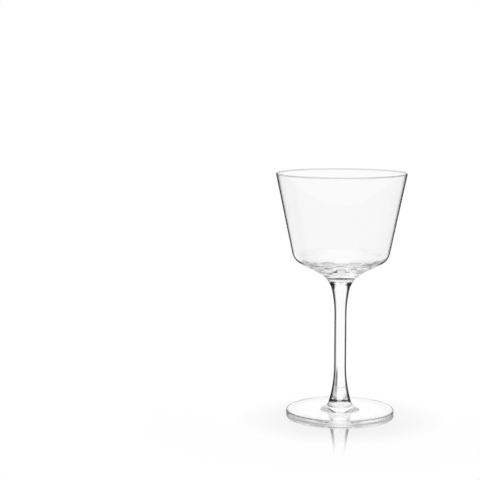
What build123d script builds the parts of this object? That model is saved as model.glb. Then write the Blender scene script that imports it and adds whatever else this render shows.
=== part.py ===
from build123d import *
from math import acos, atan2, cos, degrees, radians, sin, tan
import os

# Stemmed cocktail glass: a blown bowl, a drawn stem and a cast foot, joined hot, end to end.
# Millimetres, +Z up, with the origin on the table under the middle of the foot.

# Foot: a thin flat disc with a rounded edge, which rises in a hollow curve to the stem
foot_diameter = 66.8
foot_thickness = 2.4
foot_top_edge_radius = 0.8
foot_bottom_edge_radius = 1.1
foot_rise_radius = 6.5

# Stem: a round rod that opens gently to the foot and, in two curves, to the bowl
stem_diameter = 7.4
stem_length = 80.9
lower_flare_radius = 82.0
lower_flare_angle = 16.0
upper_flare_radius = 74.0
upper_flare_angle = 12.0
collar_radius = 16.4
collar_angle = 62.6

# Bowl: a shallow cone that goes on from the stem, a rounded shoulder and a straight wall that widens to the rim
base_thickness = 4.6
dish_radius = 130.0
floor_rounding = 7.0
wall_height = 53.15
shoulder_diameter = 58.3
shoulder_rounding = 9.5
shoulder_wall = 1.15
rim_diameter = 80.4
rim_wall = 0.9

# Stem's ends, which the foot and the bowl meet face to face
stem_radius = stem_diameter / 2
lower_flare_height = lower_flare_radius * sin(radians(lower_flare_angle))
foot_joint_radius = stem_radius + lower_flare_radius * (1 - cos(radians(lower_flare_angle)))
foot_joint_height = foot_thickness + foot_rise_radius * (1 - sin(radians(lower_flare_angle)))
collar_spread = cos(radians(upper_flare_angle)) - cos(radians(collar_angle))
collar_rise = sin(radians(collar_angle)) - sin(radians(upper_flare_angle))
upper_flare_height = upper_flare_radius * sin(radians(upper_flare_angle)) + collar_radius * collar_rise
upper_flare_spread = upper_flare_radius * (1 - cos(radians(upper_flare_angle)))
bowl_joint_radius = stem_radius + upper_flare_spread + collar_radius * collar_spread
bowl_joint_height = foot_joint_height + stem_length

# Bowl's levels and radii
shoulder_radius = shoulder_diameter / 2
shoulder_height = bowl_joint_height + (shoulder_radius - bowl_joint_radius) / tan(radians(collar_angle))
lip_height = shoulder_height + wall_height
floor_height = bowl_joint_height + base_thickness
rim_radius = rim_diameter / 2
inner_rim_radius = rim_radius - rim_wall
inner_shoulder_radius = shoulder_radius - shoulder_wall

# Bowl's dished floor: it turns up by the dish angle before the corner's rounding meets the wall
wall_slope = atan2(wall_height, inner_rim_radius - inner_shoulder_radius)
dish_height = floor_height + dish_radius - shoulder_height
corner_reach = inner_shoulder_radius * sin(wall_slope) + dish_height * cos(wall_slope) - floor_rounding
dish_angle = degrees(wall_slope - acos(corner_reach / (dish_radius - floor_rounding)))
corner_angle = degrees(wall_slope) - dish_angle

# Foot
foot_radius = foot_diameter / 2
rise_start_radius = foot_joint_radius + foot_rise_radius * cos(radians(lower_flare_angle))
with BuildPart() as foot:
    with BuildSketch(Plane.XZ):
        with BuildLine():
            disc = FilletPolyline(
                (0, 0),
                (foot_radius, 0),
                (foot_radius, foot_thickness),
                (rise_start_radius, foot_thickness),
                radius=[foot_bottom_edge_radius, foot_top_edge_radius],
            )
            rise = JernArc(disc @ 1, (-1, 0), foot_rise_radius, lower_flare_angle - 90)
            Polyline(rise @ 1, (0, foot_joint_height), (0, 0))
        make_face()
    revolve(axis=Axis.Z)

# Stem
with BuildPart() as stem:
    with BuildSketch(Plane.XZ):
        with BuildLine():
            rod = Line(
                (stem_radius, foot_joint_height + lower_flare_height),
                (stem_radius, bowl_joint_height - upper_flare_height),
            )
            lower_flare = JernArc(rod @ 0, (0, -1), lower_flare_radius, lower_flare_angle)
            upper_flare = JernArc(rod @ 1, (0, 1), upper_flare_radius, -upper_flare_angle)
            collar = JernArc(
                upper_flare @ 1, upper_flare % 1, collar_radius, upper_flare_angle - collar_angle
            )
            Polyline(collar @ 1, (0, bowl_joint_height), (0, foot_joint_height), lower_flare @ 1)
        make_face()
    revolve(axis=Axis.Z)

# Bowl, with a lip that is one arc from the outside to the inside
with BuildPart() as bowl:
    with BuildSketch(Plane.XZ):
        with BuildLine():
            outside = FilletPolyline(
                (bowl_joint_radius, bowl_joint_height),
                (shoulder_radius, shoulder_height),
                (rim_radius, lip_height),
                radius=shoulder_rounding,
            )
            dish = JernArc((0, floor_height), (1, 0), dish_radius, dish_angle)
            corner = JernArc(dish @ 1, dish % 1, floor_rounding, corner_angle)
            inside = Line(corner @ 1, (inner_rim_radius, lip_height))
            TangentArc(outside @ 1, inside @ 1, tangent=outside % 1)
            Polyline(dish @ 0, (0, bowl_joint_height), outside @ 0)
        make_face()
    revolve(axis=Axis.Z)

# Named pieces
foot.part.label = "foot"
stem.part.label = "stem"
bowl.part.label = "bowl"

os.makedirs("parts", exist_ok=True)
for piece in (foot, stem, bowl):
    export_step(piece.part, f"parts/{piece.part.label}.step")
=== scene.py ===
from math import acos, atan2, ceil, cos, dist, pi, prod, radians, sin, tan
import bpy
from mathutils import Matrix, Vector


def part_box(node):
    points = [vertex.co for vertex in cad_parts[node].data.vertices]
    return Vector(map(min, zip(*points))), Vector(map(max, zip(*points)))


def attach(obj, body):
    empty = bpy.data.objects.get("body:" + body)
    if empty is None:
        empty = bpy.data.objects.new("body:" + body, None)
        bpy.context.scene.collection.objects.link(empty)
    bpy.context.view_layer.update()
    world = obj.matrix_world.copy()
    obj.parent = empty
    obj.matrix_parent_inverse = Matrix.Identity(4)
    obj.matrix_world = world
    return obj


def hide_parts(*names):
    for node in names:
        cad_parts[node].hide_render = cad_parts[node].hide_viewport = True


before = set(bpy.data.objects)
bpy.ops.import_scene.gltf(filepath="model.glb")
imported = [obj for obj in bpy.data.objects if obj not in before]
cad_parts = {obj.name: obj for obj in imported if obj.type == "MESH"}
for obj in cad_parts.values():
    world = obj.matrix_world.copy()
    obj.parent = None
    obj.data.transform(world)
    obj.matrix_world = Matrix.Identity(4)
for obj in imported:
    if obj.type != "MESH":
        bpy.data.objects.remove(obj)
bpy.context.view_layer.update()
scene = bpy.context.scene

# Heights of the two seams in metres, from the frame
foot_joint_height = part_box("foot")[1].z
bowl_joint_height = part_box("bowl")[0].z

# Sizes of the foot, the stem and the bowl
foot_radius = 0.0334
foot_thickness = 0.0024
foot_top_edge_radius = 0.0008
foot_bottom_edge_radius = 0.0011
foot_rise_radius = 0.0065
stem_radius = 0.0037
lower_flare_radius = 0.082
lower_flare_angle = radians(16)
upper_flare_radius = 0.074
upper_flare_angle = radians(12)
collar_radius = 0.0164
collar_angle = radians(62.6)
base_thickness = 0.0046
dish_radius = 0.130
floor_rounding = 0.007
wall_height = 0.05315
shoulder_radius = 0.02915
shoulder_rounding = 0.0095
shoulder_wall = 0.00115
rim_radius = 0.0402
rim_wall = 0.0009

# How finely the outlines and the turns are divided
longest_run = 0.002
finest_run = 0.00012
same_place = finest_run / 100
fewest_steps = 24
most_steps = 72
turns = 256
sharp_edge = radians(35)

# Colours
white = (1.0, 1.0, 1.0, 1.0)
black = (0.0, 0.0, 0.0, 1.0)
glass_tint = (0.99, 0.99, 0.99, 1.0)
glass_shadow = (0.72, 0.72, 0.72, 1.0)
table_paint = (0.95, 0.95, 0.95, 1.0)

# Glass: how it bends light, its faint waves, its polish, and the scuffed ring where the foot stands
glass_index = 1.51
wave_scale = 70.0
wave_detail = 1.0
wave_strength = 0.1
wave_depth = 0.00002
polish_scale = 900.0
polish_detail = 3.0
polish_roughness = 0.006
scuff_roughness = 0.25
scuff_heights = (0.0001, 0.0004)
scuff_radii = (0.024, 0.028)

# Painted shade on the glass: a black glass mixed in at its edges where it turns away from the eye, how softly it
# ends where the glass faces up or down and at the bowl's outer skin, and a painted shade on the lip's bead
level_fade = 0.14
skin_fade = 0.0001
wall_fade = 0.001
# Painted shade on the lip's bead: how deep the band reaches, and the share of black glass mixed in
lip_bead = 0.0005
lip_painted_shade = 0.15

# Table: a wide round top just under the foot, with its own glow away from the glass and its gloss near it
table_reach = 6.0
table_level = -0.00005
table_glow = 0.2
glow_radii = (0.07, 0.16)
gloss = 0.62
gloss_radii = (0.035, 0.108)
gloss_roughness = 0.03

# Dark screens round the table, which show only through the glass: in the bowl's base, in the stem's flares
# and faintly at the bowl's sides. Each has its from and to azimuth, its from and to elevation in degrees, the
# share of the light that it takes, and how soft its upright and level edges are. Azimuth is 0 along +Y and
# grows towards -X.
screens = [
    (-75, -33, -38, 0, 0.3, 3, 3),
    (-62, -33, 0, 20, 0.25, 3, 3),
    (-36, -20, -30, -14, 0.8, 3, 3),
    (36, 75, -17, 0, 0.2, 3, 3),
    (36, 75, 0, 20, 0.2, 3, 3),
    (58, 82, -36, -18, 0.4, 3, 3),
    (-130, -32, 19, 62, 1.0, 8, 4),
    (32, 130, 19, 62, 1.0, 8, 4),
    (-155, -34, -78, -36, 1.0, 4, 3),
    (34, 155, -78, -51, 1.0, 4, 3),
    (34, 155, -51, -36, 0.6, 4, 3),
    (-36, -17, -50, -32, 1.0, 3, 3),
    (11, 36, -50, -32, 0.6, 3, 3),
    (62, 298, 3, 35, 0.5, 6, 6),
    (-298, -62, 3, 35, 0.5, 6, 6),
    (-360, 360, -90, -60, 0.6, 3, 4),
    (-32, 32, 60, 90, 0.4, 3, 4),
]

# What the glass mirrors, in degrees: the horizon, and behind the glass the table's far edge between its two sides
horizon = (-3, 3)
far_edge = (-18, -10)
far_sides = (34, 50)
near_table = 0.75
ambient = 0.3
to_degrees = 180 / pi

# Lamp and camera
lamp_back = 0.1
lamp_height = 1.1
lamp_size = 0.25
lamp_watts = 9.3
camera_sensor = 36
camera_lens = 107.475
camera_place = (-0.06223, -0.8758, 0.2128)
camera_tilt = radians(6.809)


def straight(start, end):
    """Points of a straight run, after its start."""
    count = ceil(dist(start, end) / longest_run)
    share = [i / count for i in range(1, count + 1)]
    return [(start[0] + (end[0] - start[0]) * s, start[1] + (end[1] - start[1]) * s) for s in share]


def arc(centre, radius, start, end):
    """Points of an arc of an outline, from one angle to another."""
    count = ceil(radius * abs(end - start) / finest_run)
    count = min(max(count, fewest_steps), most_steps)
    angles = [start + (end - start) * i / count for i in range(count + 1)]
    return [(centre[0] + radius * cos(a), centre[1] + radius * sin(a)) for a in angles]


def rounded(before, corner, after, radius):
    """Points of the arc that rounds a corner of an outline."""
    back = atan2(before[1] - corner[1], before[0] - corner[0])
    ahead = atan2(after[1] - corner[1], after[0] - corner[0])
    opening = (ahead - back + pi) % (2 * pi) - pi
    reach = radius / sin(abs(opening) / 2)
    middle = back + opening / 2
    centre = (corner[0] + reach * cos(middle), corner[1] + reach * sin(middle))
    side = pi / 2 if opening > 0 else -pi / 2
    sweep = (ahead + side) - (back - side)
    sweep = (sweep + pi) % (2 * pi) - pi
    return arc(centre, radius, back - side, back - side + sweep)


def outline(*runs):
    """One section from runs of points, with the straight stretches between them divided."""
    points = [runs[0][0]]
    for point in [p for run in runs for p in run]:
        if dist(point, points[-1]) > longest_run:
            points += straight(points[-1], point)
        elif dist(point, points[-1]) > same_place:
            points.append(point)
    return points


class Wire:
    """One output of a node. Arithmetic on it adds Math nodes."""

    def __init__(self, nodes, socket):
        self.nodes = nodes
        self.socket = socket

    def maths(self, operation, *others):
        return self.nodes.add("Math", {"operation": operation}, dict(enumerate([self, *others])))

    def __add__(self, other):
        return self.maths("ADD", other)

    def __radd__(self, other):
        return self.maths("ADD", other)

    def __sub__(self, other):
        return self.maths("SUBTRACT", other)

    def __rsub__(self, other):
        return self.nodes.add("Math", {"operation": "SUBTRACT"}, {0: other, 1: self})

    def __mul__(self, other):
        return self.maths("MULTIPLY", other)

    def __rmul__(self, other):
        return self.maths("MULTIPLY", other)

    def ramp(self, start, end):
        """A soft step from 0 to 1 between two values."""
        return self.nodes.add(
            "MapRange",
            {"interpolation_type": "SMOOTHSTEP"},
            {"Value": self, "From Min": start, "From Max": end},
        )

    def between(self, start, end, soft):
        """1 between two values and 0 outside them, with soft edges."""
        return self.ramp(start - soft, start + soft) * (1 - self.ramp(end - soft, end + soft))


class Nodes:
    """The nodes of one material or of the world."""

    def __init__(self, owner):
        owner.use_nodes = True
        self.tree = owner.node_tree
        self.tree.nodes.clear()

    def add(self, kind, settings=None, sockets=None, output=0):
        """Adds a node: its settings first, then the values or links of its sockets. Returns one output."""
        node = self.tree.nodes.new("ShaderNode" + kind)
        for name, value in (settings or {}).items():
            setattr(node, name, value)
        for name, value in (sockets or {}).items():
            if isinstance(value, Wire):
                self.tree.links.new(value.socket, node.inputs[name])
            else:
                node.inputs[name].default_value = value
        return Wire(self, node.outputs[output]) if len(node.outputs) else node

    def mix(self, share, first, second):
        """One shader, with a share of a second one in it."""
        return self.add("MixShader", sockets={0: share, 1: first, 2: second})

    def parts(self, vector):
        """The three numbers of a vector."""
        node = self.add("SeparateXYZ", sockets={"Vector": vector}).socket.node
        return [Wire(self, out) for out in node.outputs]

    def ray(self, kind):
        """1 for rays of that kind, and 0 for others."""
        return self.add("LightPath", output=f"Is {kind} Ray")


def clear_glass(name, edge_start, edge_end, edge_share, level_start, skin=None):
    """Fire-polished clear glass, with faint waves and a scuffed ring where the foot stands.

    Painted shade: where its outside turns away from the eye, a black clear glass is mixed in by Layer Weight. It
    stands in for the dark sides of the room, but not where the glass faces up or down, to the light and the white
    table. A thin wall gets it over a narrower edge than a rod. The last argument gives the share of the surface
    that gets this painted shade, and a painted shade of its own, from the radius and the height.
    """
    material = bpy.data.materials.new(name)
    nodes = Nodes(material)
    place = nodes.add("TexCoord", output="Object")
    x, y, height = nodes.parts(place)
    radius = (x * x + y * y).maths("SQRT")

    waves = nodes.add("TexNoise", sockets={"Vector": place, "Scale": wave_scale, "Detail": wave_detail})
    polish = nodes.add("TexNoise", sockets={"Vector": place, "Scale": polish_scale, "Detail": polish_detail})
    scuffed = (1 - height.ramp(*scuff_heights)) * radius.ramp(*scuff_radii)
    roughness = polish * polish_roughness + scuffed * polish * scuff_roughness
    bump = nodes.add("Bump", sockets={"Height": waves, "Strength": wave_strength, "Distance": wave_depth})
    glass = nodes.add(
        "BsdfPrincipled",
        sockets={
            "Base Color": glass_tint,
            "Roughness": roughness,
            "IOR": glass_index,
            "Transmission Weight": 1.0,
            "Normal": bump,
        },
    )

    # Painted shade: how far the surface turns away from the eye, by Layer Weight
    turned = nodes.add("LayerWeight", sockets={"Blend": 0.5}, output="Facing")
    level = nodes.parts(nodes.add("TexCoord", output="Normal"))[2].maths("ABSOLUTE")
    sideways = 1 - level.ramp(level_start, level_start + level_fade)
    outside = 1 - nodes.add("NewGeometry", output="Backfacing")
    # Painted shade: its share at the edges that face sideways, on the outside only
    dark = turned.ramp(edge_start, edge_end) * sideways * edge_share * outside
    if skin:
        # Painted shade: where the edge shade shows, and the painted shade of the lip's bead
        shown, painted_grey = skin(radius, height)
        dark = (dark * shown).maths("MAXIMUM", painted_grey)
    # Painted shade: a black clear glass, mixed in at the edges in place of dark surroundings
    painted_edge_shade = nodes.add(
        "BsdfPrincipled",
        sockets={"Base Color": black, "Roughness": 0.0, "IOR": 1.0, "Transmission Weight": 1.0},
    )
    glass = nodes.mix(dark, glass, painted_edge_shade)

    passing = nodes.add("BsdfTransparent", sockets={"Color": glass_shadow})
    surface = nodes.mix(nodes.ray("Shadow"), glass, passing)
    nodes.add("OutputMaterial", sockets={"Surface": surface})
    return material


def bowl_painted_shade(radius, height):
    """Where the painted edge shade shows on the outer skin of the bowl's wall and shoulder, and the painted shade
    on the lip's bead.
    """
    outwards = radius - corner_centre[0]
    upwards = height - corner_centre[1]
    distance = (outwards * outwards + upwards * upwards).maths("SQRT")
    below_wall = 1 - upwards.ramp(0, wall_fade)
    # Painted shade shows on the outer skin past the inner corner and past the middle of the wall
    past_corner = distance.ramp(corner_middle - skin_fade, corner_middle + skin_fade) * below_wall
    past_wall = (radius - height * wall_lean).ramp(wall_middle - skin_fade, wall_middle + skin_fade)
    # Painted shade: a band of black glass mixed into the lip's bead
    lip = height.ramp(lip_height - lip_bead, lip_height) * lip_painted_shade
    return past_corner.maths("MAXIMUM", past_wall), lip


def fused_seam():
    """The inside of a hot seam, where the glass of two pieces is one and light goes straight on."""
    material = bpy.data.materials.new("fused_seam")
    nodes = Nodes(material)
    passing = nodes.add("BsdfTransparent", sockets={"Color": white})
    nodes.add("OutputMaterial", sockets={"Surface": passing})
    return material


def table_white():
    """Pale table top: white paint that takes the shadow, with a glow further out and a gloss near the glass, both
    for the camera alone."""
    material = bpy.data.materials.new("table_white")
    nodes = Nodes(material)
    x, y, height = nodes.parts(nodes.add("TexCoord", output="Object"))
    radius = (x * x + y * y).maths("SQRT")
    paint = nodes.add("BsdfDiffuse", sockets={"Color": table_paint})
    glow = nodes.add("Emission", sockets={"Color": white, "Strength": 1.0})
    lit = nodes.mix(radius.ramp(*glow_radii), nodes.mix(table_glow, paint, glow), glow)
    shine = nodes.add("BsdfGlossy", sockets={"Color": white, "Roughness": gloss_roughness})
    glossy = nodes.mix((1 - radius.ramp(*gloss_radii)) * gloss, lit, shine)
    surface = nodes.mix(nodes.ray("Camera"), paint, glossy)
    nodes.add("OutputMaterial", sockets={"Surface": surface})
    return material


def studio():
    """White surroundings, with the dark screens for what shows through the glass, and the room and the table for
    what the glass mirrors."""
    world = bpy.data.worlds.new("studio")
    nodes = Nodes(world)
    x, y, z = nodes.parts(nodes.add("TexCoord", output="Generated"))
    azimuth = (0 - x).maths("ARCTAN2", y) * to_degrees
    elevation = z.maths("ARCSINE") * to_degrees
    screened = prod(
        1 - azimuth.between(left, right, upright) * elevation.between(low, high, level) * taken
        for left, right, low, high, taken, upright, level in screens
    )
    through = nodes.ray("Transmission")
    mirrored = nodes.ray("Glossy") * (1 - through)
    above = elevation.ramp(*horizon)
    in_front = azimuth.maths("ABSOLUTE").ramp(*far_sides)
    table = in_front * (1 - above) * near_table + (1 - in_front) * (1 - elevation.ramp(*far_edge))
    room = above + table
    straight_on = nodes.ray("Camera") * (1 - ambient) + ambient
    strength = through * screened + mirrored * room + (1 - through) * (1 - mirrored) * straight_on
    backdrop = nodes.add("Background", sockets={"Color": white, "Strength": strength})
    nodes.add("OutputWorld", sockets={"Surface": backdrop})
    return world


def ring(radius, height):
    """Points of one full turn about the stem's axis."""
    angles = [2 * pi * i / turns for i in range(turns)]
    return [(radius * cos(a), radius * sin(a), height) for a in angles]


def lathe(node, section, finishes):
    """The round piece that stands for a node. Its section runs from the axis round the glass and back to it."""
    points, rings, faces, on_seam = [], [], [], []
    for radius, height in section:
        if radius < same_place:
            rings.append([len(points)] * turns)
            points.append((0, 0, height))
        else:
            rings.append(range(len(points), len(points) + turns))
            points += ring(radius, height)
    for first, second in zip(rings, rings[1:]):
        for i in range(turns):
            after = (i + 1) % turns
            corners = list(dict.fromkeys([first[i], first[after], second[after], second[i]]))
            heights = {points[c][2] for c in corners}
            faces.append(corners)
            on_seam.append(len(heights) == 1 and heights <= {foot_joint_height, bowl_joint_height})
    mesh = bpy.data.meshes.new(node)
    mesh.from_pydata(points, [], faces)
    mesh.polygons.foreach_set("use_smooth", [True] * len(faces))
    mesh.polygons.foreach_set("material_index", [int(seam) for seam in on_seam])
    mesh.set_sharp_from_angle(angle=sharp_edge)
    for finish in finishes:
        mesh.materials.append(finish)
    piece = bpy.data.objects.new(f"glass_{node}", mesh)
    scene.collection.objects.link(piece)
    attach(piece, "root")
    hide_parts(node)


# Foot
foot_joint_radius = stem_radius + lower_flare_radius * (1 - cos(lower_flare_angle))
rise_start = foot_joint_radius + foot_rise_radius * cos(lower_flare_angle)
rise_centre = (rise_start, foot_thickness + foot_rise_radius)
foot_corner = (foot_radius, foot_thickness)
foot_section = outline(
    [(0, 0)],
    rounded((0, 0), (foot_radius, 0), foot_corner, foot_bottom_edge_radius),
    rounded((foot_radius, 0), foot_corner, (0, foot_thickness), foot_top_edge_radius),
    arc(rise_centre, foot_rise_radius, -pi / 2, -pi + lower_flare_angle)[:-1],
    [(foot_joint_radius, foot_joint_height), (0, foot_joint_height)],
)

# Stem
collar_spread = cos(upper_flare_angle) - cos(collar_angle)
collar_rise = sin(collar_angle) - sin(upper_flare_angle)
upper_flare_rise = upper_flare_radius * sin(upper_flare_angle)
upper_flare_spread = upper_flare_radius * (1 - cos(upper_flare_angle))
upper_flare_start = bowl_joint_height - upper_flare_rise - collar_radius * collar_rise
lower_flare_end = foot_joint_height + lower_flare_radius * sin(lower_flare_angle)
bowl_joint_radius = stem_radius + upper_flare_spread + collar_radius * collar_spread
lower_flare_centre = (stem_radius + lower_flare_radius, lower_flare_end)
upper_flare_centre = (stem_radius + upper_flare_radius, upper_flare_start)
collar_centre = (
    bowl_joint_radius + collar_radius * cos(collar_angle),
    bowl_joint_height - collar_radius * sin(collar_angle),
)
stem_section = outline(
    [(0, foot_joint_height), (foot_joint_radius, foot_joint_height)],
    arc(lower_flare_centre, lower_flare_radius, pi + lower_flare_angle, pi)[1:],
    arc(upper_flare_centre, upper_flare_radius, pi, pi - upper_flare_angle),
    arc(collar_centre, collar_radius, pi - upper_flare_angle, pi - collar_angle)[:-1],
    [(bowl_joint_radius, bowl_joint_height), (0, bowl_joint_height)],
)

# Bowl, with a lip that is one arc from the outside to the inside and a dished floor
shoulder_height = bowl_joint_height + (shoulder_radius - bowl_joint_radius) / tan(collar_angle)
lip_height = shoulder_height + wall_height
floor_height = bowl_joint_height + base_thickness
inner_rim_radius = rim_radius - rim_wall
inner_shoulder_radius = shoulder_radius - shoulder_wall
inner_slope = atan2(wall_height, inner_rim_radius - inner_shoulder_radius)
dish_centre_height = floor_height + dish_radius
corner_reach = (
    inner_shoulder_radius * sin(inner_slope)
    + (dish_centre_height - shoulder_height) * cos(inner_slope)
    - floor_rounding
)
dish_angle = inner_slope - acos(corner_reach / (dish_radius - floor_rounding))
corner_centre = (
    (dish_radius - floor_rounding) * sin(dish_angle),
    dish_centre_height - (dish_radius - floor_rounding) * cos(dish_angle),
)
wall_slope = atan2(wall_height, rim_radius - shoulder_radius)
lip_radius = rim_wall / 2 / sin(wall_slope)
lip_centre = (rim_radius - lip_radius * sin(wall_slope), lip_height + lip_radius * cos(wall_slope))
bowl_section = outline(
    [(0, bowl_joint_height), (bowl_joint_radius, bowl_joint_height)],
    rounded(
        (bowl_joint_radius, bowl_joint_height),
        (shoulder_radius, shoulder_height),
        (rim_radius, lip_height),
        shoulder_rounding,
    ),
    arc(lip_centre, lip_radius, wall_slope - pi / 2, 3 * pi / 2 - wall_slope),
    arc(corner_centre, floor_rounding, inner_slope - pi / 2, dish_angle - pi / 2),
    arc((0, dish_centre_height), dish_radius, dish_angle - pi / 2, -pi / 2)[1:-1],
    [(0, floor_height)],
)

# Halfway through the bowl's wall: how much wider it is for each metre of height, how wide it would be at the
# table, and its radius round the inner corner
wall_lean = (rim_radius - shoulder_radius) / wall_height
wall_middle = shoulder_radius - shoulder_wall / 2 - wall_lean * shoulder_height
corner_middle = floor_rounding + shoulder_wall / 2

# Pieces, each with its own glass and the inside of its seams
# Each glass gets its painted edge shade over its own range of turning and its own share
cast_glass = clear_glass("cast_glass", edge_start=0.6, edge_end=0.9, edge_share=0.7, level_start=0.5)
drawn_glass = clear_glass("drawn_glass", edge_start=0.28, edge_end=0.42, edge_share=0.9, level_start=0.49)
blown_glass = clear_glass(
    "blown_glass", edge_start=0.7, edge_end=0.84, edge_share=0.88, level_start=0.73, skin=bowl_painted_shade
)
seam = fused_seam()
lathe("foot", foot_section, [cast_glass, seam])
lathe("stem", stem_section, [drawn_glass, seam])
lathe("bowl", bowl_section, [blown_glass, seam])

# Table top. Rays that the glass mirrors or bends pass it by and meet the surroundings
floor_mesh = bpy.data.meshes.new("table_top")
floor_mesh.from_pydata(ring(table_reach, table_level), [], [list(range(turns))])
floor_mesh.materials.append(table_white())
floor = bpy.data.objects.new("table_top", floor_mesh)
floor.visible_transmission = False
floor.visible_glossy = False
scene.collection.objects.link(floor)

scene.world = studio()

# Lamp: one large soft box overhead
lamp_data = bpy.data.lights.new("soft_box", "AREA")
lamp_data.shape = "DISK"
lamp_data.size = lamp_size
lamp_data.energy = lamp_watts
lamp = bpy.data.objects.new("soft_box", lamp_data)
lamp.location = (0.0, lamp_back, lamp_height)
lamp.rotation_euler = (-atan2(lamp_back, lamp_height), 0, 0)
lamp.visible_glossy = False
lamp.visible_transmission = False
scene.collection.objects.link(lamp)

# Camera, at the photograph's height and tilt
camera_data = bpy.data.cameras.new("camera")
camera_data.sensor_width = camera_sensor
camera_data.lens = camera_lens
camera = bpy.data.objects.new("camera", camera_data)
camera.location = camera_place
camera.rotation_euler = (radians(90) - camera_tilt, 0, 0)
scene.collection.objects.link(camera)
scene.camera = camera

# Enough light paths for thick glass, and plain colours
scene.view_settings.view_transform = "Standard"
scene.cycles.max_bounces = 32
scene.cycles.transmission_bounces = 32
scene.cycles.glossy_bounces = 16
scene.cycles.transparent_max_bounces = 32
